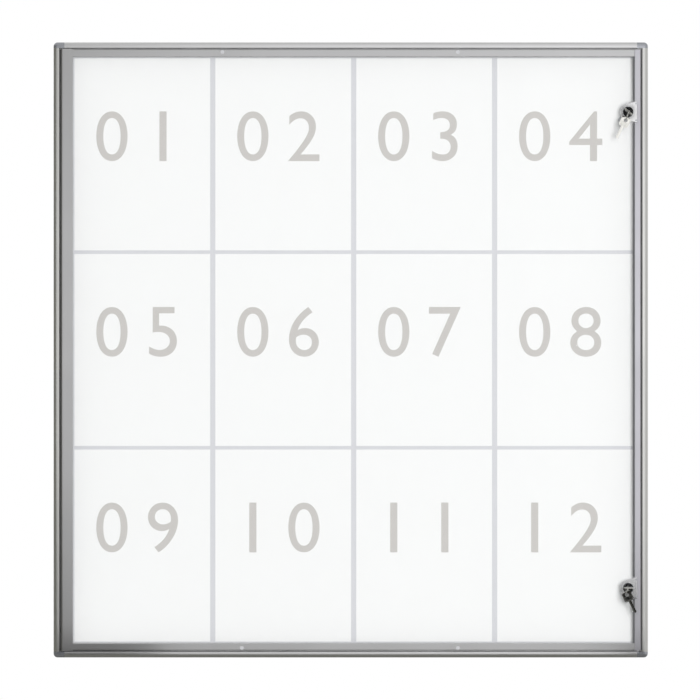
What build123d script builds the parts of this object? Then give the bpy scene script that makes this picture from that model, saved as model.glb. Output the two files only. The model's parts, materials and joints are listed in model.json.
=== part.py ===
from build123d import *
import os
from math import cos, radians, sin

# Millimetres. X runs right, Y into the wall, Z up. The wall is the plane Y = 0 and depths stand out from it.

# Case
case_width = 918.0
case_height = 950.0
case_depth = 30.0
face_width = 9.0
wall = 1.5
nose_radius = 6.0
edge_radius = 0.8
lip_reach = 4.0
stop_reach = 4.5
panel_groove = 3.5
board_thick = 2.8
steel_thick = 0.6
panel_clear = 0.5
seal_height = 2.2
seal_gap = 0.3
seal_inset = 0.3
seal_end = 2.0

# Corner caps
cap_length = 17.0
cap_round = 0.5
leg_length = 30.0
leg_clear = 0.1
cap_screw_radius = 1.45
cap_screw_head = 2.5
cap_screw_head_height = 1.8
cap_screw_grip = 5.5

# Wall sleeves
sleeve_inset = 8.5
sleeve_drop = 60.0
sleeve_bore = 2.6
sleeve_radius = 3.6
sleeve_clear = 0.1
flange_radius = 4.0
flange_thick = 0.9

# Notices
sheet_width = 210.0
sheet_height = 297.0
sheet_thick = 0.2
sheet_gap_x = 8.0
sheet_gap_z = 5.6

# Door
door_thick = 13.0
hinge_gap = 2.5
shut_gap = 2.5
stile_end_gap = 1.0
hinge_stile_width = 18.4
hinge_front_round = 3.0
hinge_back_round = 5.0
lock_stile_width = 9.2
rail_width = 10.7
stile_groove = 5.0
rail_groove = 4.0
rail_wall = 1.7
rail_web = 1.4
chamber_skin = 2.0
pane_thick = 3.0
pane_set = 5.0
pane_clear = 0.1
pane_end = 0.6
wedge_width = 2.5
wedge_low = 0.8
wedge_high = 3.0
wedge_gap = 0.4

# Hinge
hinge_in = 8.0
pin_radius = 2.0
pin_seat = 7.0
pin_reach = 12.0
run_clear = 0.05
bush_side = 8.0
bush_clear = 0.05
bush_length = 14.0
washer_radius = 5.0
washer_thick = 0.85

# Door joints and rail screws
key_in_rail = 40.0
joint_clear = 0.1
stiffener_gap = 2.0
joint_screw_radius = 1.3
joint_screw_head = 2.2
joint_screw_head_height = 1.2
joint_screw_bite = 2.4
rail_screw_radius = 1.5
rail_screw_head = 2.9
rail_screw_head_height = 1.7
rail_screw_length = 9.0
recess_width = 0.8
recess_span = 3.4
recess_depth = 0.9
top_screws = (-198.0, 165.5)
bottom_screws = (-168.0, 165.5)

# Locks
lock_inset = 10.0
lock_drop = 107.5
tab_radius = 12.6
tab_flare = 17.0
tab_lap = 3.9
tab_face = 1.5
tab_edge = 0.8
tab_clear = 0.1
barrel_radius = 7.5
barrel_hole_clear = 0.2
barrel_back = 3.6
nut_radius = 9.8
nut_thick = 3.4
rosette_radius = 8.5
rosette_thick = 1.0
rosette_edge = 0.4
plug_radius = 5.5
plug_head = 6.5
plug_proud = 1.15
tail_side = 5.5
cam_gap = 1.05
cam_thick = 2.0
cam_width = 9.0
cam_hub = 6.5
cam_lap = 2.5
cam_tip = 1.5
cam_screw_radius = 1.6
cam_screw_head = 4.0
cam_screw_head_height = 2.1
cam_screw_bite = 1.2
lock_screw_radius = 1.0
lock_screw_head = 1.6
lock_screw_head_height = 0.8
lock_screw_spread = 13.0
lock_screw_in = 2.1
lock_screw_bite = 3.5

# Keys
key_thick = 2.0
blade_length = 20.0
blade_width = 4.5
blade_tip = 1.2
bow_length = 16.0
bow_width = 15.0
bow_cut = 2.2
bow_web = 2.2
bow_hole = 3.0
bit_size = 1.1
bit_first = 4.5
bit_pitch = 3.6
bit_count = 4
key_stand = 2.3
keyway_clear = 0.2
keyway_end = 0.5
upper_ring_radius = 7.0
lower_ring_radius = 5.2
wire_radius = 0.7
ring_clear = 0.25
upper_key_turn = 40.0
lower_key_turn = 0.0
upper_ring_tilt = 20.0
lower_ring_tilt = 20.0
upper_spare_tilt = 27.0
lower_spare_tilt = -26.0

# Places that follow from the sizes above
half_w = case_width / 2
half_h = case_height / 2
inner_x = half_w - face_width
inner_z = half_h - face_width
lip_back = wall + panel_groove
lip_front = lip_back + wall
panel_front = wall + board_thick + steel_thick
door_front = case_depth
door_back = door_front - door_thick
stop_front = door_back - seal_gap - seal_height
stop_back = stop_front - wall
door_left = -inner_x + hinge_gap
door_right = inner_x - shut_gap
door_top = inner_z - shut_gap
stile_top = inner_z - stile_end_gap
open_left = door_left + hinge_stile_width
open_right = door_right - lock_stile_width
open_top = door_top - rail_width
pane_back = door_back + pane_set
pane_front = pane_back + pane_thick
hinge_x = door_left + hinge_in
hinge_v = door_back + door_thick / 2
rail_inner = rail_width - rail_groove - rail_web
rail_mid = (rail_wall + rail_inner) / 2
lock_x = open_right - lock_inset
lock_z = half_h - lock_drop
tab_front = door_front + tab_face
barrel_end = door_back - barrel_back
plug_front = tab_front + plug_proud
cam_front = barrel_end - cam_gap
cam_back = cam_front - cam_thick
tail_end = cam_back - run_clear
key_seat = plug_front + key_stand
key_tip = key_seat - blade_length
key_length = blade_length + bow_length
ring_v = key_seat + bow_length - bow_web / 2
ring_rise = key_thick / 2 + ring_clear + wire_radius


def span(x0, x1, v0, v1, z0, z1):
    return Pos((x0 + x1) / 2, -(v0 + v1) / 2, (z0 + z1) / 2) * Box(x1 - x0, v1 - v0, z1 - z0)


def rect(u0, u1, v0, v1):
    return Pos((u0 + u1) / 2, (v0 + v1) / 2) * Rectangle(u1 - u0, v1 - v0)


def slab(sketch, v0, v1):
    return extrude(Plane.XZ.offset(v0) * sketch, v1 - v0)


def disc(x, z, radius, v0, v1):
    return slab(Pos(x, z) * Circle(radius), v0, v1)


def post(x, v, radius, z0, z1):
    return Pos(x, -v, (z0 + z1) / 2) * Cylinder(radius, z1 - z0)


def cone(x, z, back_radius, front_radius, v0, v1):
    return Pos(x, -(v0 + v1) / 2, z) * Rot(90, 0, 0) * Cone(back_radius, front_radius, v1 - v0)


def bar(section, origin, inward, length):
    normal = Vector(*inward).cross(Vector(0, -1, 0))
    return extrude(Plane(origin=origin, x_dir=inward, z_dir=normal) * section, length)


def group(pieces):
    return Compound(children=list(pieces))


def four_corners(piece):
    left = mirror(piece, about=Plane.YZ)
    return [piece, left, mirror(piece, about=Plane.XY), mirror(left, about=Plane.XY)]


# Frame
def frame_chamber(clear):
    room = rect(wall + clear, face_width - wall - clear, wall + clear, case_depth - wall - clear)
    corner = room.vertices().group_by(Axis.Y)[-1].sort_by(Axis.X)[0]
    return fillet(corner, nose_radius - wall - clear)


def frame_section():
    skin = rect(0, face_width, 0, case_depth)
    skin = fillet(skin.vertices().group_by(Axis.Y)[-1].sort_by(Axis.X)[0], nose_radius)
    skin = fillet(skin.vertices().group_by(Axis.Y)[-1].sort_by(Axis.X)[-1], edge_radius)
    root = face_width - wall
    skin += rect(root, face_width + lip_reach, 0, wall)
    skin += rect(root, face_width + lip_reach, lip_back, lip_front)
    skin += rect(root, face_width + stop_reach, stop_back, stop_front)
    return skin - frame_chamber(0)


def frame_profiles():
    section = frame_section()
    run_x = case_width - 2 * cap_length
    run_z = case_height - 2 * face_width
    return {
        "frame_top": bar(section, (run_x / 2, 0, half_h), (0, 0, -1), run_x),
        "frame_bottom": bar(section, (-run_x / 2, 0, -half_h), (0, 0, 1), run_x),
        "frame_left": bar(section, (-half_w, 0, run_z / 2), (1, 0, 0), run_z),
        "frame_right": bar(section, (half_w, 0, -run_z / 2), (-1, 0, 0), run_z),
    }


def corner_cap():
    block = span(half_w - cap_length, half_w, 0, case_depth, inner_z, half_h)
    outer = block.edges().filter_by(Axis.Y).sort_by(lambda e: e.center().X + e.center().Z)[-1]
    block = fillet(outer, nose_radius + cap_round)
    rim = block.faces().sort_by(Axis.Y)[0].edges().sort_by(lambda e: e.center().X + e.center().Z)
    block = fillet(rim[2:], nose_radius)
    leg = frame_chamber(leg_clear)
    root = (half_w - cap_length + wall, 0, half_h)
    block += bar(leg, root, (0, 0, -1), leg_length + wall)
    block += bar(leg, (half_w, 0, inner_z + wall), (-1, 0, 0), -leg_length - wall)
    return block


def cap_screw():
    shank = Pos(0, 0, cap_screw_grip / 2) * Cylinder(cap_screw_radius, cap_screw_grip)
    return shank + Pos(0, 0, -cap_screw_head_height / 2) * Cylinder(cap_screw_head, cap_screw_head_height)


def cap_screws():
    v = (lip_front + stop_back) / 2
    upright = Pos(half_w - cap_length - leg_length / 2, -v, inner_z) * cap_screw()
    level = Pos(inner_x, -v, inner_z - leg_length / 2) * Rot(0, 90, 0) * cap_screw()
    return four_corners(upright) + four_corners(level)


def hinge_pin():
    return post(hinge_x, hinge_v, pin_radius, stile_top - pin_reach, inner_z + pin_seat)


# Back of the case
def sleeve_places():
    x = inner_x - sleeve_inset
    z = half_h - sleeve_drop
    return [(x, z), (-x, z), (x, -z), (-x, -z)]


def panel(v0, v1):
    x = inner_x - panel_clear
    z = inner_z - panel_clear
    plate = span(-x, x, v0, v1, -z, z)
    for hole_x, hole_z in sleeve_places():
        plate -= disc(hole_x, hole_z, sleeve_radius + sleeve_clear, v0, v1)
    return plate


def wall_sleeve(x, z):
    sleeve = disc(x, z, sleeve_radius, 0, panel_front)
    sleeve += disc(x, z, flange_radius, panel_front, panel_front + flange_thick)
    return sleeve - disc(x, z, sleeve_bore, 0, panel_front + flange_thick)


def notice_sheets():
    pitch_x = sheet_width + sheet_gap_x
    pitch_z = sheet_height + sheet_gap_z
    columns = int((open_right - open_left + sheet_gap_x) // pitch_x)
    rows = int((2 * open_top + sheet_gap_z) // pitch_z)
    sheet = slab(Rectangle(sheet_width, sheet_height), panel_front, panel_front + sheet_thick)
    middle = (open_left + open_right) / 2
    return [
        Pos(middle + (i - (columns - 1) / 2) * pitch_x, 0, ((rows - 1) / 2 - j) * pitch_z) * sheet
        for j in range(rows)
        for i in range(columns)
    ]


def seal():
    strip = rect(seal_inset, stop_reach - seal_inset, stop_front, stop_front + seal_height)
    strip = fillet(strip.vertices().group_by(Axis.Y)[-1], edge_radius)
    run = 2 * (inner_z - seal_end)
    return bar(strip, (inner_x, 0, -run / 2), (-1, 0, 0), run)


# Door
def pane_slot(u0, u1):
    return rect(u0, u1, pane_back - pane_clear, pane_front + pane_clear)


def hinge_stile():
    section = rect(0, hinge_stile_width, door_back, door_front)
    section = fillet(section.vertices().group_by(Axis.Y)[-1].sort_by(Axis.X)[0], hinge_front_round)
    section = fillet(section.vertices().group_by(Axis.Y)[0].sort_by(Axis.X)[0], hinge_back_round)
    section -= pane_slot(hinge_stile_width - stile_groove, hinge_stile_width)
    section -= rect(
        hinge_in - bush_side / 2,
        hinge_in + bush_side / 2,
        hinge_v - bush_side / 2,
        hinge_v + bush_side / 2,
    )
    return bar(section, (door_left, 0, stile_top), (1, 0, 0), 2 * stile_top)


def lock_stile():
    section = rect(0, lock_stile_width, door_back, door_front)
    section = fillet(section.vertices().group_by(Axis.Y)[-1], edge_radius)
    section -= pane_slot(lock_stile_width - stile_groove, lock_stile_width)
    return bar(section, (door_right, 0, -door_top), (-1, 0, 0), 2 * door_top)


def rail_room(clear):
    return rect(
        rail_wall + clear,
        rail_inner - clear,
        door_back + chamber_skin + clear,
        door_front - chamber_skin - clear,
    )


def rail():
    section = rect(0, rail_width, door_back, door_front)
    section = fillet(section.vertices().group_by(Axis.Y)[-1], edge_radius)
    section -= pane_slot(rail_width - rail_groove, rail_width)
    section -= rail_room(0)
    return bar(section, (open_right, 0, door_top), (0, 0, -1), open_right - open_left)


def stiffener():
    end = key_in_rail + stiffener_gap
    return bar(
        rail_room(joint_clear), (open_right - end, 0, door_top), (0, 0, -1), open_right - open_left - 2 * end
    )


def corner_keys():
    section = rect(rail_wall + joint_clear, rail_inner - joint_clear, pane_back, pane_front)
    tongue = stile_groove - joint_clear
    length = key_in_rail + tongue
    right = bar(section, (open_right + tongue, 0, door_top), (0, 0, -1), length)
    left = bar(section, (open_left - tongue, 0, door_top), (0, 0, -1), -length)
    return [left, right, mirror(left, about=Plane.XY), mirror(right, about=Plane.XY)]


def joint_screw(x):
    z = door_top - rail_mid
    head_top = door_back + joint_screw_head_height
    shank = disc(x, z, joint_screw_radius, head_top, pane_back + joint_screw_bite)
    return shank + cone(x, z, joint_screw_head, joint_screw_radius, door_back, head_top)


def joint_screws():
    places = (
        open_left - stile_groove / 2,
        open_left + key_in_rail / 2,
        open_right - key_in_rail / 2,
        open_right + stile_groove / 2,
    )
    top = [joint_screw(x) for x in places]
    return top + [mirror(screw, about=Plane.XY) for screw in top]


def rail_screw(x, z):
    head_back = door_front - rail_screw_head_height
    screw = disc(x, z, rail_screw_radius, door_front - rail_screw_length, head_back)
    return screw + cone(x, z, rail_screw_radius, rail_screw_head, head_back, door_front)


def cross_recess(x, z):
    arm = Rectangle(recess_span, recess_width) + Rectangle(recess_width, recess_span)
    return slab(Pos(x, z) * arm, door_front - recess_depth, door_front)


def rail_screw_places():
    z = door_top - rail_mid
    return [(x, z) for x in top_screws] + [(x, -z) for x in bottom_screws]


def pane():
    reach = stile_groove - pane_end
    high = open_top + rail_groove - pane_end
    sheet = span(open_left - reach, open_right + reach, pane_back, pane_front, -high, high)
    for z in (lock_z, -lock_z):
        sheet -= disc(lock_x, z, barrel_radius + barrel_hole_clear, pane_back, pane_front)
    return sheet


def glazing_wedges():
    outline = Polyline(
        (0, pane_front),
        (wedge_width, pane_front),
        (wedge_width, pane_front + wedge_low),
        (0, pane_front + wedge_high),
        close=True,
    )
    section = make_face(outline)
    near = lock_z - tab_flare - wedge_gap
    far = lock_z + tab_flare + wedge_gap
    ends = [(far, open_top), (-near, near), (-open_top, -far)]
    return [bar(section, (open_right, 0, low), (-1, 0, 0), high - low) for low, high in ends]


def hinge_bush():
    half = bush_side / 2 - bush_clear
    bush = span(
        hinge_x - half, hinge_x + half, hinge_v - half, hinge_v + half, stile_top - bush_length, stile_top
    )
    bush += post(hinge_x, hinge_v, washer_radius, stile_top, stile_top + washer_thick)
    return bush - post(hinge_x, hinge_v, pin_radius + run_clear, stile_top - bush_length, inner_z)


# Locks, drawn about the lock's axis at X = 0, Z = 0
def lock_housing():
    side = Line((lock_inset + tab_lap, -tab_flare), (lock_inset + tab_lap, tab_flare))
    tab = slab(make_hull(Circle(tab_radius).edges() + side.edges()), pane_front + tab_clear, tab_front)
    tab = fillet(tab.faces().sort_by(Axis.Y)[0].edges(), tab_edge)
    stile_room = span(
        lock_inset - tab_clear, lock_inset + tab_lap + wall, 0, door_front, -2 * tab_flare, 2 * tab_flare
    )
    tab -= stile_room
    tab += disc(0, 0, barrel_radius, barrel_end, tab_front - tab_edge)
    return tab - disc(0, 0, plug_radius + run_clear, barrel_end, tab_front)


def lock_screws():
    x = lock_inset + lock_screw_in
    screws = []
    for z in (lock_screw_spread, -lock_screw_spread):
        shank = disc(x, z, lock_screw_radius, door_front - lock_screw_bite, tab_front)
        head = disc(x, z, lock_screw_head, tab_front, tab_front + lock_screw_head_height)
        screws.append(shank + head)
    return screws


def lock_nut():
    ring = slab(RegularPolygon(nut_radius, 6), pane_back - nut_thick, pane_back)
    return ring - disc(0, 0, barrel_radius, pane_back - nut_thick, pane_back)


def lock_rosette():
    ring = disc(0, 0, rosette_radius, tab_front, tab_front + rosette_thick)
    ring = fillet(ring.faces().sort_by(Axis.Y)[0].edges(), rosette_edge)
    return ring - disc(0, 0, plug_head + run_clear, tab_front, tab_front + rosette_thick)


def plug():
    body = disc(0, 0, plug_radius, cam_front + run_clear, tab_front + run_clear)
    body += disc(0, 0, plug_head, tab_front + run_clear, plug_front)
    body += slab(Rectangle(tail_side, tail_side), tail_end, cam_front + run_clear)
    body -= disc(0, 0, cam_screw_radius, tail_end, cam_front + cam_screw_bite)
    half_slot = blade_width / 2 + keyway_clear
    half_high = key_thick / 2 + keyway_clear
    return body - span(-half_slot, half_slot, key_tip - keyway_end, plug_front, -half_high, half_high)


def cam():
    reach = inner_x - stop_reach + cam_lap - lock_x
    arm = Pos(0, -reach / 2) * Rectangle(cam_width, reach)
    arm = fillet(arm.vertices().group_by(Axis.Y)[0], cam_tip)
    hole = tail_side + 2 * run_clear
    return slab(arm + Circle(cam_hub) - Rectangle(hole, hole), cam_back, cam_front)


def cam_bolt():
    bolt = disc(0, 0, cam_screw_head, tail_end - cam_screw_head_height, tail_end)
    return bolt + disc(0, 0, cam_screw_radius, tail_end, cam_front + cam_screw_bite)


# Keys
def key_outline():
    bow = rect(-bow_width / 2, bow_width / 2, blade_length, key_length)
    blade = rect(-blade_width / 2, blade_width / 2, 0, blade_length + bow_web)
    outline = chamfer(bow.vertices(), bow_cut) + chamfer(blade.vertices().group_by(Axis.Y)[0], blade_tip)
    for i in range(bit_count):
        place = Pos(blade_width / 2, bit_first + i * bit_pitch) * Rot(0, 0, 45)
        outline -= place * Rectangle(bit_size, bit_size)
    return outline - Pos(0, key_length - bow_web - bow_hole) * Circle(bow_hole)


def key():
    flat = Plane(origin=(0, -key_tip, 0), x_dir=(1, 0, 0), z_dir=(0, 0, -1))
    return extrude(flat * key_outline(), key_thick / 2, both=True)


def ring_top(turn):
    return ring_rise * sin(radians(turn)), ring_rise * cos(radians(turn))


def key_ring(radius, turn, tilt):
    x, z = ring_top(turn)
    ring = Pos(x, -ring_v, z - radius) * Rot(0, 90, 0) * Torus(radius, wire_radius)
    return ring.rotate(Axis((x, 0, z), (0, 1, 0)), tilt)


def spare_key(radius, turn, ring_tilt, tilt):
    x, z = ring_top(turn)
    x -= 2 * radius * sin(radians(ring_tilt))
    z -= 2 * radius * cos(radians(ring_tilt))
    hang = key_length - bow_web - wire_radius - ring_clear
    blank = extrude(Plane.XZ.offset(ring_v) * key_outline(), key_thick / 2, both=True)
    return (Pos(x, 0, z - hang) * blank).rotate(Axis((x, 0, z), (0, 1, 0)), tilt)


def lock(name, z, turn, radius, ring_tilt, spare_tilt):
    place = Pos(lock_x, 0, z)
    turned = place * Rot(0, turn, 0)
    screws = [place * screw for screw in lock_screws()]
    return {
        f"{name}_lock_housing": place * lock_housing() - screws,
        f"{name}_lock_screws": group(screws),
        f"{name}_lock_nut": place * lock_nut(),
        f"{name}_lock_rosette": place * lock_rosette(),
        f"{name}_plug": turned * plug(),
        f"{name}_cam": turned * cam(),
        f"{name}_cam_screw": turned * cam_bolt(),
        f"{name}_key": turned * key(),
        f"{name}_key_ring": place * key_ring(radius, turn, ring_tilt),
        f"{name}_spare_key": place * spare_key(radius, turn, ring_tilt, spare_tilt),
    }


def case_parts():
    pins = [hinge_pin(), mirror(hinge_pin(), about=Plane.XY)]
    screws = cap_screws()
    parts = {name: profile - screws - pins for name, profile in frame_profiles().items()}
    caps = ("top_right", "top_left", "bottom_right", "bottom_left")
    for name, cap in zip(caps, four_corners(corner_cap())):
        parts[f"corner_cap_{name}"] = cap - screws - pins
    parts["cap_screws"] = group(screws)
    parts["backing_board"] = panel(wall, wall + board_thick)
    parts["back_sheet"] = panel(wall + board_thick, panel_front)
    parts["wall_sleeves"] = group(wall_sleeve(x, z) for x, z in sleeve_places())
    parts["seal_lock_side"] = seal()
    parts["seal_hinge_side"] = mirror(seal(), about=Plane.YZ)
    parts["hinge_pin_top"], parts["hinge_pin_bottom"] = pins
    parts["notice_sheets"] = group(notice_sheets())
    return parts


def door_parts():
    joints = joint_screws()
    screws = [rail_screw(x, z) for x, z in rail_screw_places()]
    lock_bolts = [Pos(lock_x, 0, z) * bolt for z in (lock_z, -lock_z) for bolt in lock_screws()]
    lower = mirror(rail(), about=Plane.XY)
    return {
        "hinge_stile": hinge_stile() - joints,
        "lock_stile": lock_stile() - joints - lock_bolts,
        "top_rail": rail() - joints - screws,
        "bottom_rail": lower - joints - screws,
        "top_stiffener": stiffener() - screws,
        "bottom_stiffener": mirror(stiffener(), about=Plane.XY) - screws,
        "rail_screws": group(s - cross_recess(x, z) for s, (x, z) in zip(screws, rail_screw_places())),
        "corner_keys": group(k - joints for k in corner_keys()),
        "corner_key_screws": group(joints),
        "pane": pane(),
        "glazing_wedge": group(glazing_wedges()),
        "hinge_bush_top": hinge_bush(),
        "hinge_bush_bottom": mirror(hinge_bush(), about=Plane.XY),
    }


os.makedirs("parts", exist_ok=True)
parts = case_parts()
parts.update(door_parts())
parts.update(lock("upper", lock_z, upper_key_turn, upper_ring_radius, upper_ring_tilt, upper_spare_tilt))
parts.update(lock("lower", -lock_z, lower_key_turn, lower_ring_radius, lower_ring_tilt, lower_spare_tilt))
for name, shape in parts.items():
    export_step(shape, f"parts/{name}.step")
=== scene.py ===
import json
from math import pi, radians

import bpy
from bpy.props import FloatProperty, FloatVectorProperty, PointerProperty
from bpy.types import Operator, Panel, PropertyGroup
from mathutils import Matrix, Vector


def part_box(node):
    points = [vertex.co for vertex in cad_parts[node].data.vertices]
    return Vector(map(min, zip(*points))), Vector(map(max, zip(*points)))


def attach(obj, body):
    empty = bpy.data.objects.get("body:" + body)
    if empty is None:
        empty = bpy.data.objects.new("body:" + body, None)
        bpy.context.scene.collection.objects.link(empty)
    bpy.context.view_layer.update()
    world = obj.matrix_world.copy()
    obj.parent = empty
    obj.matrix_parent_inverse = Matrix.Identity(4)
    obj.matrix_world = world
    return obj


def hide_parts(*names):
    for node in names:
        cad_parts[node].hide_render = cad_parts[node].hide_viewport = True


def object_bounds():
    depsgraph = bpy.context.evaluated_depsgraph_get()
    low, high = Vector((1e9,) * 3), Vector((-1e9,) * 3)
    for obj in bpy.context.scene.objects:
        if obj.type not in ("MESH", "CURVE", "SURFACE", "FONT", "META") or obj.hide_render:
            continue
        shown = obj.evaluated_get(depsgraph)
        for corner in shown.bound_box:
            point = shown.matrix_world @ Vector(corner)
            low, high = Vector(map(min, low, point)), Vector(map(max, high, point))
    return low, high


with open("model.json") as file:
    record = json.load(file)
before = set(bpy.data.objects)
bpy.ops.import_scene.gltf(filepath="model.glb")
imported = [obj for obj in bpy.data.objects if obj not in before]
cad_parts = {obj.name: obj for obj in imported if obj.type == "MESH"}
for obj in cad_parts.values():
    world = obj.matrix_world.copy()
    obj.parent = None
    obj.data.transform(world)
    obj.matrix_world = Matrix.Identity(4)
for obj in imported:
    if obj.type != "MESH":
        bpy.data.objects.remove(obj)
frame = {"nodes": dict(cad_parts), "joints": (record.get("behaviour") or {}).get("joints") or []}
CAD_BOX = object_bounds()

bl_info = {
    "name": "Notice Display Case",
    "version": (1, 0, 0),
    "blender": (4, 5, 0),
    "location": "3D View > Sidebar > Display Case",
    "description": "Finishes a wall-hung display case for A4 notices and sets it in a studio",
    "category": "Object",
}

MM = 0.001
TINY = 1e-6
LOCKS = ("upper", "lower")
JOINTS = {joint["name"]: joint for joint in frame["joints"]}

# Vertices closer than this are merged
MERGE = 0.005 * MM

# Only edges flatter than this are shaded smooth, so that the slopes in a key's bow stay crisp
SMOOTH_ANGLE = radians(8)

# Text is set at about this much of a digit's height, with this many steps in each curve
TEXT_SCALE = 1.4
TEXT_STEPS = 8

# Cuts and ribs on a key, sides of the hole through its bow, and the angle from which its edges are rounded
KEY_CUTS = 4
KEY_RIBS = 4
HOLE_SIDES = 48
SHARP_ANGLE = radians(40)

# Key rings, in degrees: where each turn of wire starts and how far round it goes
RING_STARTS = (10, 200)
RING_TURN = 346

# Steps in one turn of a key ring, and the share of its width that the wire fills
RING_STEPS = 88
RING_FILL = 0.92

# Sockets of the Mix node, whose names repeat
FACTOR, VALUE_A, VALUE_B, TINT_A, TINT_B = 0, 2, 3, 6, 7
MIXED_VALUE, MIXED_TINT = 0, 2

# Lamps: middle and size in metres
SOFTBOX = ((1.25, -9.0, 0.3), (2.4, 2.4))
SHEEN = ((0.75, -2.0, 0.1), (0.9, 0.9))

# Glowing cards that only the shine of the metal shows, painted dark and pale reflections: middle, way it
# faces, size in metres, and colour
CARDS = {
    "flag_left": ((-1.2, -0.25, 0), (1, 0, 0), (1.7, 2.4), "card_grey"),
    "flag_right": ((1.2, -0.25, 0), (-1, 0, 0), (1.7, 2.4), "card_white"),
    "flag_below": ((0, -0.4, -0.76), (0, 0, 1), (2.4, 1.7), "card_grey"),
    "flag_above": ((0, 0.1, 0.9), (0, 0, -1), (2.4, 0.8), "card_white"),
    "flag_low_corner": ((-1.22, -0.9, -1.15), (0, 1, 0), (1.56, 1.7), "card_dark"),
    "flag_high_corner": ((-1.22, -0.9, 1.2), (0, 1, 0), (1.56, 1.7), "card_pale"),
    "flag_low_left_cap": ((-0.395, -0.15, -0.482), (0, 1, 0), (0.19, 0.06), "card_black"),
    "flag_low_right_cap": ((0.462, -0.15, -0.482), (0, 1, 0), (0.06, 0.06), "card_black"),
    "flag_upper_lock": ((0.4285, -0.075, 0.3685), (0, 1, 0), (0.02, 0.018), "card_black"),
    "flag_lower_lock": ((0.434, -0.3, -0.389), (0, 1, 0), (0.07, 0.07), "card_black"),
}

# Sides of the round floor, and the width of the camera's sensor in millimetres
FLOOR_SIDES = 96
SENSOR_WIDTH = 36


def linear(code):
    """Turns an sRGB hex colour into linear RGBA."""
    parts = [int(code[i:i + 2], 16) / 255 for i in (0, 2, 4)]
    return tuple(c / 12.92 if c <= 0.04045 else ((c + 0.055) / 1.055) ** 2.4 for c in parts) + (1.0,)


def swatch(label, use, code):
    return FloatVectorProperty(
        name=label, description=use, subtype="COLOR", size=4, min=0, max=1, default=linear(code)
    )


def length(label, use, millimetres):
    return FloatProperty(
        name=label, description=use, unit="LENGTH", default=millimetres * MM, min=0, precision=5
    )


def angle(label, use, degrees):
    return FloatProperty(name=label, description=use, subtype="ANGLE", default=radians(degrees))


def power(label, use, watts):
    return FloatProperty(name=label, description=use, unit="POWER", default=watts, min=0)


def level(label, use, share):
    return FloatProperty(name=label, description=use, subtype="FACTOR", default=share, min=0, max=1)


# Settings
class CaseColours(PropertyGroup):
    # The frame's top and bottom and its sides are one aluminium in two tones: painted light, the level
    # pieces lighter and the uprights darker as the light falls on them
    frame_level_painted_light: swatch("Frame, level", "Anodised aluminium of the frame's top and bottom", "D2D2D3")
    frame_upright_painted_shade: swatch("Frame, upright", "Anodised aluminium of the frame's sides", "CBCBC9")
    door_metal: swatch("Door", "Anodised aluminium of the door's hinge stile and rails", "BABABB")
    # The lock stile is the door's aluminium made a touch cooler: painted light, the cool light from the
    # right side
    lock_metal_painted_cool_light: swatch("Lock stile", "Anodised aluminium of the door's lock stile", "BAB9BF")
    cap: swatch("Corner caps", "Grey moulded plastic with a metallic shine", "A2A4AA")
    lacquer: swatch("Back", "Pale lacquer on the steel back", "D2D2D7")
    board: swatch("Board", "Brown hardboard behind the steel", "AC8A62")
    nylon: swatch("Nylon", "Natural nylon of the wall sleeves", "ECEAE3")
    bush: swatch("Bushes", "Dark nylon of the hinge bushes", "3A3A3C")
    seal: swatch("Seals", "Grey rubber that the door shuts on", "89898A")
    # The wedge's dark grey is partly the strip's own colour and partly painted shade along the lock stile's
    # inner edge
    wedge: swatch("Wedge", "Dark strip that holds the pane", "666669")
    zinc: swatch("Zinc plate", "Screws, pins and stiffeners", "B5B7BB")
    bright_zinc: swatch("Bright zinc", "Screws in the face of the door", "CDCED1")
    glass: swatch("Pane", "Clear pane", "F1F6F4")
    paper: swatch("Paper", "Notice sheets", "F8F8F8")
    ink: swatch("Print", "Grey numbers on the sheets", "C6C2BF")
    die_cast: swatch("Lock tabs", "Satin die-cast zinc", "CECECF")
    chrome: swatch("Lock faces", "Polished chrome plate", "D4D5D8")
    nickel: swatch("Keys", "Nickel plate on brass", "C0BFBB")
    floor: swatch("Floor", "Pale studio floor", "EDEDED")
    # The cards below glow and show only in reflections: painted dark and pale reflections on the frame,
    # caps and locks
    card_grey: swatch("Grey cards", "Cards that the metal reflects at the left and from below", "7E7E77")
    card_dark: swatch("Dark card", "Card that the lower left corner reflects", "565652")
    card_pale: swatch("Pale card", "Card that the upper left corner reflects", "B2B2B0")
    card_white: swatch("White cards", "Cards that the frame's top and right side reflect", "E2E2E0")
    card_black: swatch("Black cards", "Cards that the lower caps and the locks reflect", "0C0C0B")


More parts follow.
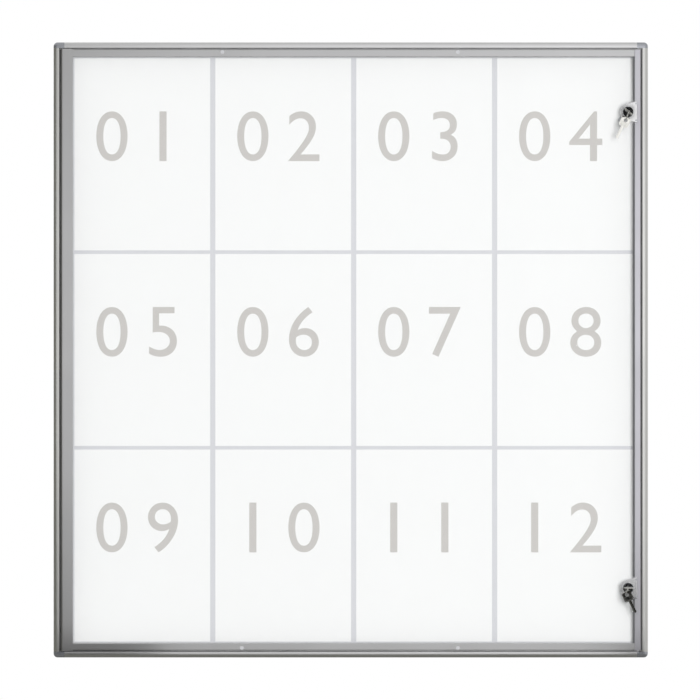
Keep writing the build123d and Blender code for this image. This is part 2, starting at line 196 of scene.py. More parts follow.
class CaseSizes(PropertyGroup):
    sheet_width: length("Sheet width", "Width of one notice", 210)
    sheet_height: length("Sheet height", "Height of one notice", 297)
    sheet_gap_x: length("Column gap", "Gap between columns of notices", 8)
    sheet_gap_z: length("Row gap", "Gap between rows of notices", 5.6)
    digit_height: length("Digit height", "Height of a printed digit", 77)
    digit_top: length("Digit drop", "From the top of the sheet to the top of its digits", 82)
    first_digit: length("First digit", "From the sheet's left edge to the middle of its first digit", 58)
    second_digit: length("Second digit", "From the sheet's left edge to the middle of its second one", 137)
    ink_thick: length("Print thickness", "How far the print stands off the paper", 0.05)
    key_thick: length("Key thickness", "Thickness of a key", 2)
    key_edge: length("Key edge", "Rounding of a key's edges", 0.1)
    bow_width: length("Bow width", "Width of a key's bow", 15)
    bow_length: length("Bow length", "Length of a key's bow", 16)
    bow_cut: length("Bow corners", "Cut across the bow's corners", 2.2)
    bow_round: length("Bow round", "Rounding across the bow's end", 0.8)
    bow_rim: length("Bow rim", "Width of the flat rim round the bow's recess", 1.2)
    bow_slope: length("Bow slope", "Width of the slope from the rim into the recess", 0.15)
    bow_recess: length("Bow recess", "Depth of the bow's recess", 0.3)
    bow_web: length("Bow web", "Metal between the bow's hole and its end", 2.2)
    bow_hole: length("Bow hole", "Radius of the bow's hole", 3)
    rib_first: length("First rib", "From the blade to the first rib on the bow", 2.4)
    rib_pitch: length("Rib pitch", "From one rib to the next", 1.5)
    rib_width: length("Rib width", "Width of a rib", 0.8)
    rib_margin: length("Rib margin", "From the bow's side to the end of a rib", 2.4)
    rib_drop: length("Rib drop", "How far a rib stays below the rim", 0.05)
    rib_edge: length("Rib edge", "Chamfer along a rib", 0.22)
    blade_length: length("Blade length", "Length of a key's blade", 20)
    blade_width: length("Blade width", "Width of a key's blade", 4.5)
    blade_tip: length("Blade tip", "Cut across the corners of the blade's tip", 1.2)
    groove_far: length("Groove, far side", "From the blade's middle to the far side of its groove", 1.5)
    groove_near: length("Groove, near side", "From the blade's middle to the near side of its groove", 0.4)
    groove_depth: length("Groove depth", "Depth of the groove in the blade", 0.45)
    groove_start: length("Groove start", "From the tip to the groove", 1.2)
    groove_run: length("Groove run", "How far the groove runs into the bow", 0.6)
    cut_first: length("First cut", "From the tip to the first cut in the blade", 4.5)
    cut_pitch: length("Cut pitch", "From one cut to the next", 3.6)
    cut_size: length("Cut size", "Side of the square tool that makes a cut", 1.1)
    upper_key_turn: angle("Upper key turn", "How far the upper key is turned from level", 40)
    lower_key_turn: angle("Lower key turn", "How far the lower key is turned from level", 0)
    upper_ring_tilt: angle("Upper ring tilt", "How far the upper ring leans", 20)
    lower_ring_tilt: angle("Lower ring tilt", "How far the lower ring leans", 20)
    upper_spare_tilt: angle("Upper spare tilt", "How far the upper spare key leans", 27)
    lower_spare_tilt: angle("Lower spare tilt", "How far the lower spare key leans", -26)
    upper_ring_radius: length("Upper ring radius", "Middle radius of the upper key ring", 7)
    lower_ring_radius: length("Lower ring radius", "Middle radius of the lower key ring", 5.2)
    ring_wire: length("Ring wire", "Width that one turn of the ring's flat wire takes up", 0.62)
    ring_depth: length("Ring depth", "Depth of the ring's flat wire", 1.15)
    ring_round: length("Ring round", "Rounding of the ring's flat wire", 0.2)


class StudioSettings(PropertyGroup):
    distance: length("Camera distance", "From the camera to the door's front", 12000)
    view_width: length("View width", "Width of the view at the door's front", 1080.6)
    aim_x: length("Aim across", "How far left of the middle the camera aims", 1.1)
    aim_z: length("Aim down", "How far below the middle the camera aims", 0.1)
    floor_drop: length("Floor drop", "How far the floor lies below the case", 300)
    floor_radius: length("Floor radius", "Radius of the studio floor", 1200)
    floor_glow: level("Floor glow", "Light that comes up through the floor", 0.5)
    key_power: power("Softbox", "Power of the softbox", 660)
    sheen_power: power("Sheen", "Power of the lamp for metal", 2)
    fill: level("Fill", "Brightness of the room", 0.28)


def colours():
    return bpy.context.scene.case_colours


def sizes():
    return bpy.context.scene.case_sizes


# Materials
def add(tree, kind, inputs=None, **settings):
    """Adds a node with its settings, and fills its inputs with values or links."""
    node = tree.nodes.new(kind)
    for name, value in settings.items():
        setattr(node, name, value)
    for name, value in (inputs or {}).items():
        if isinstance(value, bpy.types.NodeSocket):
            tree.links.new(value, node.inputs[name])
        else:
            node.inputs[name].default_value = value
    return node


def shaded(colour, factor):
    return tuple(c * factor for c in colour[:3]) + (1.0,)


def surface(name):
    """Starts an empty material and gives its nodes and the piece's own coordinates."""
    material = bpy.data.materials.new(name)
    material.use_nodes = True
    tree = material.node_tree
    tree.nodes.clear()
    return material, tree, add(tree, "ShaderNodeTexCoord").outputs["Object"]


def close(tree, shader):
    add(tree, "ShaderNodeOutputMaterial", {"Surface": shader.outputs[0]})


def anodised_aluminium(name, colour, run):
    """Extruded and satin anodised: a soft grey sheen, with fine die lines along the bar."""
    material, tree, place = surface(name)
    # Real die lines are finer; these are nearly a millimetre wide, so that they show in a close view
    line, streak, patch = 0.9 * MM, 260 * MM, 90 * MM
    stretch = [1 / line] * 3
    stretch[run] = 1 / streak
    lined = add(tree, "ShaderNodeMapping", {"Vector": place, "Scale": stretch})
    lines = add(tree, "ShaderNodeTexNoise", {
        "Vector": lined.outputs[0], "Scale": 1.0, "Detail": 3.0, "Roughness": 0.6})
    cloud = add(tree, "ShaderNodeTexNoise", {"Vector": place, "Scale": 1 / patch, "Detail": 2.0})
    tone = add(tree, "ShaderNodeMix", {
        FACTOR: lines.outputs[0], TINT_A: shaded(colour, 0.93), TINT_B: shaded(colour, 1.05)},
        data_type="RGBA")
    soft = add(tree, "ShaderNodeMath", {0: lines.outputs[0], 1: cloud.outputs[0]}, operation="ADD")
    rough = add(tree, "ShaderNodeMapRange", {
        "Value": soft.outputs[0], "From Min": 0.6, "From Max": 1.4, "To Min": 0.34, "To Max": 0.46})
    bump = add(tree, "ShaderNodeBump", {
        "Height": lines.outputs[0], "Strength": 0.12, "Distance": 0.05 * MM})
    close(tree, add(tree, "ShaderNodeBsdfPrincipled", {
        "Base Color": tone.outputs[MIXED_TINT], "Metallic": 1.0, "Roughness": rough.outputs[0],
        "Normal": bump.outputs[0]}))
    return material


def grained(name, colour, grain, depth, rough, spread=0.06, metallic=0.0):
    """A moulded, cast or coated surface: one colour with a fine grain that breaks up its shine."""
    material, tree, place = surface(name)
    # Most grains are given coarser than the real ones, so that they show in a close view
    pits = add(tree, "ShaderNodeTexNoise", {
        "Vector": place, "Scale": 1 / grain, "Detail": 4.0, "Roughness": 0.55})
    cloud = add(tree, "ShaderNodeTexNoise", {"Vector": place, "Scale": 1 / (18 * grain), "Detail": 2.0})
    tone = add(tree, "ShaderNodeMix", {
        FACTOR: cloud.outputs[0], TINT_A: shaded(colour, 1 - spread), TINT_B: shaded(colour, 1 + spread)},
        data_type="RGBA")
    shine = add(tree, "ShaderNodeMapRange", {
        "Value": pits.outputs[0], "From Min": 0.3, "From Max": 0.7,
        "To Min": rough[0], "To Max": rough[1]})
    bump = add(tree, "ShaderNodeBump", {"Height": pits.outputs[0], "Strength": 0.35, "Distance": depth})
    close(tree, add(tree, "ShaderNodeBsdfPrincipled", {
        "Base Color": tone.outputs[MIXED_TINT], "Metallic": metallic, "Roughness": shine.outputs[0],
        "Normal": bump.outputs[0]}))
    return material


def plated_metal(name, colour, rough):
    """Plated and handled: a bright skin with hairline scratches that run every way."""
    material, tree, place = surface(name)
    # Real hairlines are finer; these are some tenths of a millimetre wide, to show in a close view
    turned = add(tree, "ShaderNodeMapping", {
        "Vector": place, "Rotation": (0.6, 0.9, 0.4),
        "Scale": (1 / (0.25 * MM), 1 / (6 * MM), 1 / (0.25 * MM))})
    across = add(tree, "ShaderNodeMapping", {
        "Vector": place, "Rotation": (-0.5, -0.7, 1.1),
        "Scale": (1 / (7 * MM), 1 / (0.3 * MM), 1 / (0.3 * MM))})
    hair = add(tree, "ShaderNodeTexNoise", {"Vector": turned.outputs[0], "Scale": 1.0, "Detail": 2.0})
    cross = add(tree, "ShaderNodeTexNoise", {"Vector": across.outputs[0], "Scale": 1.0, "Detail": 2.0})
    both = add(tree, "ShaderNodeMath", {0: hair.outputs[0], 1: cross.outputs[0]}, operation="MULTIPLY")
    tone = add(tree, "ShaderNodeMix", {
        FACTOR: both.outputs[0], TINT_A: shaded(colour, 0.94), TINT_B: shaded(colour, 1.08)},
        data_type="RGBA")
    shine = add(tree, "ShaderNodeMapRange", {
        "Value": both.outputs[0], "From Min": 0.12, "From Max": 0.4,
        "To Min": rough[0], "To Max": rough[1]})
    close(tree, add(tree, "ShaderNodeBsdfPrincipled", {
        "Base Color": tone.outputs[MIXED_TINT], "Metallic": 1.0, "Roughness": shine.outputs[0]}))
    return material


def pressed_hardboard(colour):
    """Wood fibre pressed into a board: short brown hairs in a darker ground, with no shine."""
    material, tree, place = surface("hardboard_pressed_fibre")
    hairs = add(tree, "ShaderNodeMapping", {
        "Vector": place, "Scale": (1 / (9 * MM), 1 / (2 * MM), 1 / (1.2 * MM))})
    fibre = add(tree, "ShaderNodeTexNoise", {
        "Vector": hairs.outputs[0], "Scale": 1.0, "Detail": 6.0, "Distortion": 1.4})
    cloud = add(tree, "ShaderNodeTexNoise", {"Vector": place, "Scale": 1 / (60 * MM), "Detail": 4.0})
    both = add(tree, "ShaderNodeMix", {
        FACTOR: 0.35, VALUE_A: fibre.outputs[0], VALUE_B: cloud.outputs[0]}, data_type="FLOAT")
    tone = add(tree, "ShaderNodeMix", {
        FACTOR: both.outputs[MIXED_VALUE], TINT_A: shaded(colour, 0.62), TINT_B: shaded(colour, 1.4)},
        data_type="RGBA")
    bump = add(tree, "ShaderNodeBump", {"Height": fibre.outputs[0], "Strength": 0.3, "Distance": 0.2 * MM})
    close(tree, add(tree, "ShaderNodeBsdfPrincipled", {
        "Base Color": tone.outputs[MIXED_TINT], "Roughness": 0.82, "Normal": bump.outputs[0]}))
    return material


def printing_paper(colour):
    """Uncoated office paper: white, matt, with the faint cloud of its fibres."""
    material, tree, place = surface("paper_uncoated")
    cloud = add(tree, "ShaderNodeTexNoise", {
        "Vector": place, "Scale": 1 / (3 * MM), "Detail": 6.0, "Roughness": 0.65})
    tone = add(tree, "ShaderNodeMix", {
        FACTOR: cloud.outputs[0], TINT_A: shaded(colour, 0.985), TINT_B: shaded(colour, 1.01)},
        data_type="RGBA")
    bump = add(tree, "ShaderNodeBump", {"Height": cloud.outputs[0], "Strength": 0.1, "Distance": 0.03 * MM})
    close(tree, add(tree, "ShaderNodeBsdfPrincipled", {
        "Base Color": tone.outputs[MIXED_TINT], "Roughness": 0.88, "Specular IOR Level": 0.25,
        "Normal": bump.outputs[0]}))
    return material


def printed_ink(colour):
    """Toner on paper: a flat grey, a touch uneven where the fibres show through."""
    material, tree, place = surface("toner_grey")
    cloud = add(tree, "ShaderNodeTexNoise", {"Vector": place, "Scale": 1 / (1.5 * MM), "Detail": 5.0})
    tone = add(tree, "ShaderNodeMix", {
        FACTOR: cloud.outputs[0], TINT_A: shaded(colour, 0.97), TINT_B: shaded(colour, 1.03)},
        data_type="RGBA")
    close(tree, add(tree, "ShaderNodeBsdfPrincipled", {
        "Base Color": tone.outputs[MIXED_TINT], "Roughness": 0.7, "Specular IOR Level": 0.3}))
    return material


def clear_pane(colour):
    """Clear sheet: nearly nothing but its gloss, with the slight wave of the rolled surface."""
    material, tree, place = surface("pane_clear")
    wave = add(tree, "ShaderNodeTexNoise", {"Vector": place, "Scale": 1 / (160 * MM), "Detail": 1.0})
    bump = add(tree, "ShaderNodeBump", {"Height": wave.outputs[0], "Strength": 0.05, "Distance": 0.3 * MM})
    close(tree, add(tree, "ShaderNodeBsdfPrincipled", {
        "Base Color": colour, "Roughness": 0.04, "IOR": 1.49, "Alpha": 0.06, "Normal": bump.outputs[0]}))
    return material


def dress(material, *names):
    for name in names:
        for place in frame["nodes"][name].material_slots:
            place.material = material


# Modelling
def deselect():
    if bpy.context.mode != "OBJECT":
        bpy.ops.object.mode_set(mode="OBJECT")
    bpy.ops.object.select_all(action="DESELECT")


def pick(*pieces):
    """Selects these pieces alone and makes the first one active."""
    deselect()
    for piece in pieces:
        piece.select_set(True)
    bpy.context.view_layer.objects.active = pieces[0]


def settle(piece, matrix):
    """Moves a piece and puts its place into its mesh."""
    pick(piece)
    piece.matrix_world = matrix
    bpy.ops.object.transform_apply(location=True, rotation=True, scale=True)


def block(low, high):
    """A box between two corners, with its place in its mesh."""
    deselect()
    low, high = Vector(low), Vector(high)
    bpy.ops.mesh.primitive_cube_add(size=1, location=(low + high) / 2)
    piece = bpy.context.object
    piece.scale = high - low
    bpy.ops.object.transform_apply(location=True, rotation=True, scale=True)
    return piece


def choose(piece, kind, test):
    """Selects in edit mode the faces or edges that pass the test."""
    pick(piece)
    bpy.ops.object.mode_set(mode="EDIT")
    bpy.ops.mesh.select_mode(type=kind)
    bpy.ops.mesh.select_all(action="DESELECT")
    bpy.ops.object.mode_set(mode="OBJECT")
    mesh = piece.data
    for part in (mesh.polygons if kind == "FACE" else mesh.edges):
        part.select = test(mesh, part)
    bpy.ops.object.mode_set(mode="EDIT")


def modify(piece, kind, **settings):
    pick(piece)
    modifier = piece.modifiers.new(kind.title(), kind)
    for name, value in settings.items():
        setattr(modifier, name, value)
    bpy.ops.object.modifier_apply(modifier=modifier.name)


def combine(piece, tool, operation):
    modify(piece, "BOOLEAN", object=tool, operation=operation, solver="EXACT")
    bpy.data.objects.remove(tool)


def stands_up(mesh, edge):
    a, b = (mesh.vertices[i].co for i in edge.vertices)
    return abs(a.x - b.x) < TINY and abs(a.y - b.y) < TINY


def tip_corner(mesh, edge):
    return stands_up(mesh, edge) and mesh.vertices[edge.vertices[0]].co.y < TINY


def runs_across(mesh, edge):
    a, b = (mesh.vertices[i].co for i in edge.vertices)
    return abs(a.y - b.y) < TINY and abs(a.z - b.z) < TINY


def bow_end(mesh, edge, end):
    return not stands_up(mesh, edge) and all(mesh.vertices[i].co.y > end - TINY for i in edge.vertices)


def is_flat(mesh, face):
    return abs(face.normal.z) > 0.99


def faces_elsewhere(mesh, face):
    """True for each face of a block but the one toward +Y."""
    return face.normal.y < 0.5


def place_piece(piece, name, matrix, material, body):
    settle(piece, matrix)
    bpy.ops.object.shade_smooth_by_angle(angle=SMOOTH_ANGLE)
    piece.name = name
    piece.data.name = name
    piece.data.materials.clear()
    piece.data.materials.append(material)
    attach(piece, body)


def copy_of(piece):
    twin = piece.copy()
    twin.data = piece.data.copy()
    bpy.context.scene.collection.objects.link(twin)
    return twin


def key_blank(s):
    """One key, flat in X and Y, its tip at the origin: ribbed bow with a hole, grooved blade with cuts."""
    half = s.key_thick / 2
    end = s.blade_length + s.bow_length
    bow = block((-s.bow_width / 2, s.blade_length, -half), (s.bow_width / 2, end, half))
    choose(bow, "EDGE", stands_up)
    bpy.ops.mesh.bevel(offset=s.bow_cut, affect="EDGES", segments=1)
    choose(bow, "EDGE", lambda mesh, edge: bow_end(mesh, edge, end))
    bpy.ops.mesh.bevel(offset=s.bow_round, affect="EDGES", segments=4)
    choose(bow, "FACE", is_flat)
    bpy.ops.mesh.inset(thickness=s.bow_rim, depth=0, use_individual=True)
    bpy.ops.mesh.inset(thickness=s.bow_slope, depth=-s.bow_recess, use_individual=True)
    bpy.ops.object.mode_set(mode="OBJECT")
    side = s.blade_width / 2
    blade = block((-side, 0, -half), (side, s.blade_length + s.bow_web / 2, half))
    choose(blade, "EDGE", tip_corner)
    bpy.ops.mesh.bevel(offset=s.blade_tip, affect="EDGES", segments=1)
    bpy.ops.object.mode_set(mode="OBJECT")
    combine(bow, blade, "UNION")
    for z in (-half, half):
        groove = block(
            (-s.groove_far, s.groove_start, z - s.groove_depth),
            (-s.groove_near, s.blade_length + s.groove_run, z + s.groove_depth),
        )
        combine(bow, groove, "DIFFERENCE")
    reach = s.cut_size / 2
    for i in range(KEY_CUTS):
        cut = block((-reach, -reach, -2 * half), (reach, reach, 2 * half))
        spot = Matrix.Translation((side, s.cut_first + i * s.cut_pitch, 0))
        settle(cut, spot @ Matrix.Rotation(pi / 4, 4, "Z"))
        combine(bow, cut, "DIFFERENCE")
    deselect()
    hole_y = end - s.bow_web - s.bow_hole
    bpy.ops.mesh.primitive_cylinder_add(
        vertices=HOLE_SIDES, radius=s.bow_hole, depth=4 * half, location=(0, hole_y, 0)
    )
    drill = bpy.context.object
    bpy.ops.object.transform_apply(location=True, rotation=True, scale=True)
    combine(bow, drill, "DIFFERENCE")
    modify(bow, "BEVEL", width=s.key_edge, segments=2, limit_method="ANGLE", angle_limit=SHARP_ANGLE)
    x = s.bow_width / 2 - s.rib_margin
    z = half - s.rib_drop
    for i in range(KEY_RIBS):
        y = s.blade_length + s.rib_first + i * s.rib_pitch
        rib = block((-x, y, -z), (x, y + s.rib_width, z))
        choose(rib, "EDGE", runs_across)
        bpy.ops.mesh.bevel(offset=s.rib_edge, affect="EDGES", segments=1)
        bpy.ops.object.mode_set(mode="OBJECT")
        combine(bow, rib, "UNION")
    return bow, hole_y


def split_ring(s, radius):
    """Two turns of flat wire side by side about X, each spun from its section, its ends a little apart."""
    turns = []
    width = s.ring_wire * RING_FILL
    inside = radius - s.ring_depth / 2
    # Half the thickness of a slice, of which one face is kept as the wire's section
    thin = 0.05 * MM
    for side, start in zip((-1, 1), RING_STARTS):
        x = (side * s.ring_wire - width) / 2
        wire = block((x, -thin, inside), (x + width, thin, inside + s.ring_depth))
        choose(wire, "FACE", faces_elsewhere)
        bpy.ops.mesh.delete(type="FACE")
        bpy.ops.mesh.select_all(action="SELECT")
        bpy.ops.mesh.bevel(offset=s.ring_round, affect="VERTICES", segments=3)
        bpy.ops.mesh.select_all(action="SELECT")
        bpy.ops.mesh.spin(steps=RING_STEPS, angle=radians(RING_TURN), center=(0, 0, 0), axis=(1, 0, 0))
        bpy.ops.mesh.select_all(action="SELECT")
        bpy.ops.mesh.remove_doubles(threshold=MERGE)
        bpy.ops.mesh.normals_make_consistent(inside=False)
        bpy.ops.object.mode_set(mode="OBJECT")
        settle(wire, Matrix.Rotation(radians(start), 4, "X"))
        turns.append(wire)
    pick(*turns)
    bpy.ops.object.join()
    return turns[0]


# Operators
class CASE_OT_profiles(Operator):
    """Gives the frame, stiles and rails their anodised finish"""

    bl_idname = "display_case.profiles"
    bl_label = "Profiles"

    def execute(self, context):
        c = colours()
        across, up = 0, 2
        for name, colour, run, nodes in (
            # Level and upright frame pieces: one aluminium, painted lighter and darker by how the light
            # falls
            ("aluminium_anodised_frame_level", c.frame_level_painted_light, across, ("frame_top", "frame_bottom")),
            ("aluminium_anodised_frame_upright", c.frame_upright_painted_shade, up, ("frame_left", "frame_right")),
            ("aluminium_anodised_door_level", c.door_metal, across, ("top_rail", "bottom_rail")),
            ("aluminium_anodised_hinge_stile", c.door_metal, up, ("hinge_stile",)),
            # Lock stile: a cooler copy of the door's aluminium, painted as the cool light from the right
            ("aluminium_anodised_lock_stile", c.lock_metal_painted_cool_light, up, ("lock_stile",)),
        ):
            dress(anodised_aluminium(name, colour, run), *nodes)
        return {"FINISHED"}


class CASE_OT_corner_caps(Operator):
    """Gives the corner caps their moulded grain"""

    bl_idname = "display_case.corner_caps"
    bl_label = "Corner caps"

    def execute(self, context):
        # ABS with a metallic pigment, moulded smooth: a cool grey that shines nearly like metal
        shell = grained("abs_moulded_silver_grey", colours().cap, grain=0.5 * MM, depth=0.01 * MM,
                        rough=(0.24, 0.32), spread=0.03, metallic=0.8)
        for end in ("top", "bottom"):
            dress(shell, f"corner_cap_{end}_left", f"corner_cap_{end}_right")
        return {"FINISHED"}


class CASE_OT_back(Operator):
    """Finishes the steel back, its board, the wall sleeves and the hinge bushes"""

    bl_idname = "display_case.back"
    bl_label = "Back"

    def execute(self, context):
        c = colours()
        # Baked lacquer: pale, with a low gloss and the faint peel of a sprayed coat
        lacquer = grained("steel_lacquered_pale", c.lacquer, grain=2.2 * MM, depth=0.03 * MM,
                          rough=(0.3, 0.42), spread=0.01)
        dress(lacquer, "back_sheet")
        dress(pressed_hardboard(c.board), "backing_board")
        # Moulded nylon: one waxy colour with a dull shine
        natural = grained("nylon_moulded_natural", c.nylon, grain=0.8 * MM, depth=0.03 * MM,
                          rough=(0.4, 0.55), spread=0.02)
        dress(natural, "wall_sleeves")
        dark = grained("nylon_moulded_dark", c.bush, grain=0.8 * MM, depth=0.03 * MM,
                       rough=(0.4, 0.55), spread=0.02)
        dress(dark, "hinge_bush_top", "hinge_bush_bottom")
        return {"FINISHED"}


class CASE_OT_notices(Operator):
    """Finishes the sheets of paper and prints a plain number on each"""

    bl_idname = "display_case.notices"
    bl_label = "Notices"

    def execute(self, context):
        c, s = colours(), sizes()
        dress(printing_paper(c.paper), "notice_sheets")
        ink = printed_ink(c.ink)
        low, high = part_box("notice_sheets")
        columns = round((high.x - low.x + s.sheet_gap_x) / (s.sheet_width + s.sheet_gap_x))
        rows = round((high.z - low.z + s.sheet_gap_z) / (s.sheet_height + s.sheet_gap_z))
        for row in range(rows):
            for column in range(columns):
                left = low.x + column * (s.sheet_width + s.sheet_gap_x)
                top = high.z - row * (s.sheet_height + s.sheet_gap_z) - s.digit_top
                self.number(row * columns + column + 1, left, top, low.y, ink, s)
        return {"FINISHED"}

    def number(self, count, left, top, face, ink, s):
        middles = (left + s.first_digit, left + s.second_digit)
        digits = [self.digit(mark, middle, top, face, s) for mark, middle in zip(f"{count:02d}", middles)]
        pick(*digits)
        bpy.ops.object.join()
        number = bpy.context.object
        bpy.ops.object.mode_set(mode="EDIT")
        bpy.ops.mesh.select_all(action="SELECT")
        bpy.ops.mesh.remove_doubles(threshold=MERGE)
        bpy.ops.object.mode_set(mode="OBJECT")
        place_piece(number, f"printed_number_{count:02d}", Matrix(), ink, "case")

    def digit(self, mark, middle, top, face, s):
        """One digit as a thin solid, set near its size as text and then scaled to its height."""
        deselect()
        bpy.ops.object.text_add()
        text = bpy.context.object
        text.data.body = mark
        text.data.size = TEXT_SCALE * s.digit_height
        text.data.extrude = s.ink_thick / 2
        text.data.resolution_u = TEXT_STEPS
        bpy.ops.object.convert(target="MESH")
        digit = bpy.context.object
        spots = [v.co for v in digit.data.vertices]
        x0, x1 = min(p.x for p in spots), max(p.x for p in spots)
        y0, y1 = min(p.y for p in spots), max(p.y for p in spots)
        scale = s.digit_height / (y1 - y0)
        digit.scale = (scale, scale, 1)
        digit.rotation_euler = (pi / 2, 0, 0)
        digit.location = (middle - scale * (x0 + x1) / 2, face - s.ink_thick / 2, top - scale * y1)
        bpy.ops.object.transform_apply(location=True, rotation=True, scale=True)
        return digit


class CASE_OT_glazing(Operator):
    """Finishes the pane, the strip that holds it and the door seals"""

    bl_idname = "display_case.glazing"
    bl_label = "Glazing"

    def execute(self, context):
        c = colours()
        dress(clear_pane(c.glass), "pane")
        # Soft PVC from a die: dark and dull, with an even skin. Its dark grey is partly the strip's own and
        # partly painted shade along the lock stile's inner edge
        strip = grained("pvc_extruded_dark", c.wedge, grain=0.9 * MM, depth=0.03 * MM, rough=(0.5, 0.65))
        dress(strip, "glazing_wedge")
        # Extruded rubber: grey and matt, with hardly any highlight
        rubber = grained("epdm_rubber_grey", c.seal, grain=0.7 * MM, depth=0.04 * MM, rough=(0.65, 0.8))
        dress(rubber, "seal_hinge_side", "seal_lock_side")
        return {"FINISHED"}


class CASE_OT_fixings(Operator):
    """Gives screws, pins and stiffeners their zinc plate"""

    bl_idname = "display_case.fixings"
    bl_label = "Fixings"

    def execute(self, context):
        c = colours()
        dress(plated_metal("steel_zinc_plated", c.zinc, rough=(0.26, 0.42)),
              "cap_screws", "hinge_pin_top", "hinge_pin_bottom", "top_stiffener", "bottom_stiffener",
              "corner_keys", "corner_key_screws")
        dress(plated_metal("steel_zinc_plated_bright", c.bright_zinc, rough=(0.12, 0.22)), "rail_screws")
        return {"FINISHED"}


class CASE_OT_locks(Operator):
    """Finishes the lock tabs, their plugs, nuts and cams"""

    bl_idname = "display_case.locks"
    bl_label = "Locks"

    def execute(self, context):
        c = colours()
        # Die-cast zinc, tumbled and plated satin: a pale metal with a fine broken shine
        tab = grained("zinc_die_cast_satin", c.die_cast, grain=0.35 * MM, depth=0.012 * MM,
                      rough=(0.22, 0.3), spread=0.04, metallic=1.0)
        chrome = plated_metal("brass_chrome_plated", c.chrome, rough=(0.05, 0.12))
        steel = plated_metal("steel_zinc_plated_lock", c.zinc, rough=(0.26, 0.42))
        for lock in LOCKS:
            dress(tab, f"{lock}_lock_housing")
            dress(chrome, f"{lock}_lock_rosette", f"{lock}_plug")
            dress(steel, f"{lock}_lock_screws", f"{lock}_lock_nut", f"{lock}_cam", f"{lock}_cam_screw")
        return {"FINISHED"}


class CASE_OT_keys(Operator):
    """Cuts one key and puts copies in both locks and on both rings"""

    bl_idname = "display_case.keys"
    bl_label = "Keys"

    def execute(self, context):
        s = sizes()
        nickel = plated_metal("brass_nickel_plated", colours().nickel, rough=(0.06, 0.14))
        blank, hole_y = key_blank(s)
        for lock in LOCKS:
            axis = Vector(JOINTS[f"{lock}_plug_turn"]["pos_m"])
            axis.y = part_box(f"{lock}_key")[1].y
            turn = getattr(s, f"{lock}_key_turn")
            seat = Matrix.Translation(axis) @ Matrix.Rotation(turn, 4, "Y") @ Matrix.Rotation(pi, 4, "X")
            key = copy_of(blank)
            place_piece(key, f"{lock}_cut_key", seat, nickel, f"{lock}_key")
            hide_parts(f"{lock}_key")
            hole = Vector(JOINTS[f"{lock}_spare_swing"]["pos_m"])
            tilt = getattr(s, f"{lock}_spare_tilt")
            hang = (
                Matrix.Translation(hole) @ Matrix.Rotation(tilt, 4, "Y") @ Matrix.Rotation(pi / 2, 4, "X")
                @ Matrix.Translation((0, -hole_y, 0))
            )
            spare = copy_of(blank)
            place_piece(spare, f"{lock}_cut_spare_key", hang, nickel, f"{lock}_spare_key")
            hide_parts(f"{lock}_spare_key")
        bpy.data.objects.remove(blank)
        return {"FINISHED"}


class CASE_OT_key_rings(Operator):
    """Winds a split ring for each lock and hangs it on the key"""

    bl_idname = "display_case.key_rings"
    bl_label = "Key rings"

    def execute(self, context):
        s = sizes()
        steel = plated_metal("steel_nickel_plated_ring", colours().nickel, rough=(0.14, 0.28))
        for lock in LOCKS:
            top = Vector(JOINTS[f"{lock}_ring_swing"]["pos_m"])
            radius = getattr(s, f"{lock}_ring_radius")
            tilt = getattr(s, f"{lock}_ring_tilt")
            hang = (
                Matrix.Translation(top) @ Matrix.Rotation(tilt, 4, "Y")
                @ Matrix.Translation((0, 0, -radius))
            )
            ring = split_ring(s, radius)
            place_piece(ring, f"{lock}_split_ring", hang, steel, f"{lock}_key_ring")
            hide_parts(f"{lock}_key_ring")
        return {"FINISHED"}


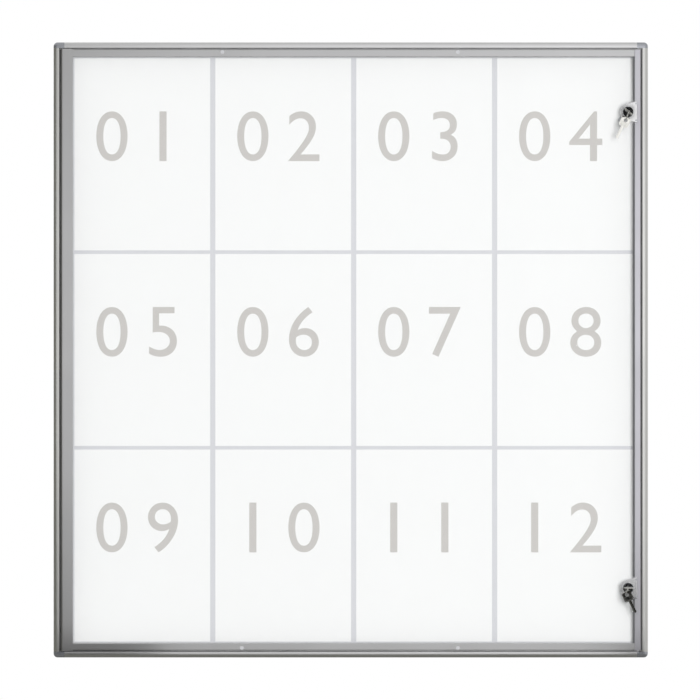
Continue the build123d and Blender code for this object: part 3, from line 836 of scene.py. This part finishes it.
class CASE_OT_stage(Operator):
    """Sets the floor, the lights, the cards and the camera"""

    bl_idname = "display_case.stage"
    bl_label = "Studio"

    def execute(self, context):
        studio = context.scene.case_studio
        self.floor(studio, CAD_BOX[0][2])
        self.lights(studio)
        self.cards()
        self.room(studio)
        self.camera(studio)
        return {"FINISHED"}

    def floor(self, studio, foot):
        deselect()
        bpy.ops.mesh.primitive_circle_add(
            vertices=FLOOR_SIDES, radius=studio.floor_radius, fill_type="NGON",
            location=(0, 0, foot - studio.floor_drop),
        )
        ground = bpy.context.object
        bpy.ops.object.transform_apply(location=True, rotation=True, scale=True)
        ground.name = "studio_floor"
        # Satin acrylic with light behind it: pale and even, with no hard highlight
        finish = grained("acrylic_backlit_pale", colours().floor, grain=4 * MM, depth=0.02 * MM,
                         rough=(0.6, 0.7), spread=0.01)
        shader = finish.node_tree.nodes["Principled BSDF"]
        shader.inputs["Emission Color"].default_value = colours().floor
        shader.inputs["Emission Strength"].default_value = studio.floor_glow
        ground.data.materials.append(finish)
        ground.visible_diffuse = False

    def lights(self, studio):
        softbox = self.lamp("softbox", *SOFTBOX, studio.key_power)
        softbox.visible_glossy = False
        sheen = self.lamp("sheen", *SHEEN, studio.sheen_power)
        sheen.visible_diffuse = False

    def lamp(self, name, place, size, watts):
        light = bpy.data.lights.new(name, "AREA")
        light.shape = "RECTANGLE"
        light.size, light.size_y = size
        light.energy = watts
        lamp = bpy.data.objects.new(name, light)
        lamp.location = place
        lamp.rotation_euler = (-Vector(place)).to_track_quat("-Z", "Y").to_euler()
        bpy.context.scene.collection.objects.link(lamp)
        return lamp

    def cards(self):
        """Stands up glowing cards round the case, seen only in reflections: painted dark and pale
        reflections on the metal, caps and locks.
        """
        finishes = {}
        for name, (place, facing, size, tone) in CARDS.items():
            if tone not in finishes:
                finishes[tone] = self.card_finish(tone, getattr(colours(), tone))
            self.card(name, place, facing, size, finishes[tone])

    def card_finish(self, name, colour):
        """Card that glows at one level, so that it looks the same from every side: seen only in
        reflections, it is a painted reflection.
        """
        material, tree, _ = surface(name)
        close(tree, add(tree, "ShaderNodeEmission", {"Color": colour, "Strength": 1.0}))
        return material

    def card(self, name, place, facing, size, finish):
        deselect()
        bpy.ops.mesh.primitive_plane_add(size=1, location=place)
        card = bpy.context.object
        card.scale = (*size, 1)
        card.rotation_euler = Vector(facing).to_track_quat("Z", "Y").to_euler()
        bpy.ops.object.transform_apply(location=True, rotation=True, scale=True)
        card.name = name
        card.data.materials.append(finish)
        # Only reflections see the card, so it paints a reflection and lights or shades nothing
        for ray in ("camera", "diffuse", "transmission", "volume_scatter", "shadow"):
            setattr(card, f"visible_{ray}", False)

    def room(self, studio):
        """A white room to the eye and in reflections, which lights the case only dimly."""
        scene = bpy.context.scene
        world = bpy.data.worlds.new("studio_room")
        scene.world = world
        world.use_nodes = True
        tree = world.node_tree
        tree.nodes.clear()
        ray = add(tree, "ShaderNodeLightPath")
        shown = add(tree, "ShaderNodeMath", {
            0: ray.outputs["Is Camera Ray"], 1: ray.outputs["Is Glossy Ray"]}, operation="MAXIMUM")
        seen = add(tree, "ShaderNodeMath", {
            0: shown.outputs[0], 1: ray.outputs["Is Transmission Ray"]}, operation="MAXIMUM")
        dim = add(tree, "ShaderNodeBackground", {"Color": (1, 1, 1, 1), "Strength": studio.fill})
        white = add(tree, "ShaderNodeBackground", {"Color": (1, 1, 1, 1), "Strength": 1.0})
        mixed = add(tree, "ShaderNodeMixShader", {
            0: seen.outputs[0], 1: dim.outputs[0], 2: white.outputs[0]})
        add(tree, "ShaderNodeOutputWorld", {"Surface": mixed.outputs[0]})
        scene.view_settings.view_transform = "Standard"

    def camera(self, studio):
        scene = bpy.context.scene
        view = bpy.data.cameras.new("photo_view")
        view.sensor_width = SENSOR_WIDTH
        view.lens = SENSOR_WIDTH * studio.distance / studio.view_width
        view.clip_end = 2 * studio.distance
        camera = bpy.data.objects.new("photo_view", view)
        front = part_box("hinge_stile")[0].y
        camera.location = (-studio.aim_x, front - studio.distance, -studio.aim_z)
        camera.rotation_euler = (pi / 2, 0, 0)
        scene.collection.objects.link(camera)
        scene.camera = camera


STEPS = (
    CASE_OT_profiles, CASE_OT_corner_caps, CASE_OT_back, CASE_OT_notices, CASE_OT_glazing, CASE_OT_fixings,
    CASE_OT_locks, CASE_OT_keys, CASE_OT_key_rings, CASE_OT_stage,
)


class CASE_PT_panel(Panel):
    """Lists the steps and the settings"""

    bl_idname = "CASE_PT_panel"
    bl_label = "Display Case"
    bl_space_type = "VIEW_3D"
    bl_region_type = "UI"
    bl_category = "Display Case"

    def draw(self, context):
        for step in STEPS:
            self.layout.operator(step.bl_idname)
        for group in (context.scene.case_colours, context.scene.case_sizes, context.scene.case_studio):
            box = self.layout.box()
            for name in group.__annotations__:
                box.prop(group, name)


CLASSES = (CaseColours, CaseSizes, StudioSettings) + STEPS + (CASE_PT_panel,)


def register():
    for cls in CLASSES:
        bpy.utils.register_class(cls)
    bpy.types.Scene.case_colours = PointerProperty(type=CaseColours)
    bpy.types.Scene.case_sizes = PointerProperty(type=CaseSizes)
    bpy.types.Scene.case_studio = PointerProperty(type=StudioSettings)


def unregister():
    for name in ("case_colours", "case_sizes", "case_studio"):
        delattr(bpy.types.Scene, name)
    for cls in reversed(CLASSES):
        bpy.utils.unregister_class(cls)


def main():
    register()
    bpy.ops.display_case.profiles()
    bpy.ops.display_case.corner_caps()
    bpy.ops.display_case.back()
    bpy.ops.display_case.notices()
    bpy.ops.display_case.glazing()
    bpy.ops.display_case.fixings()
    bpy.ops.display_case.locks()
    bpy.ops.display_case.keys()
    bpy.ops.display_case.key_rings()
    bpy.ops.display_case.stage()


if __name__ == "__main__":
    main()
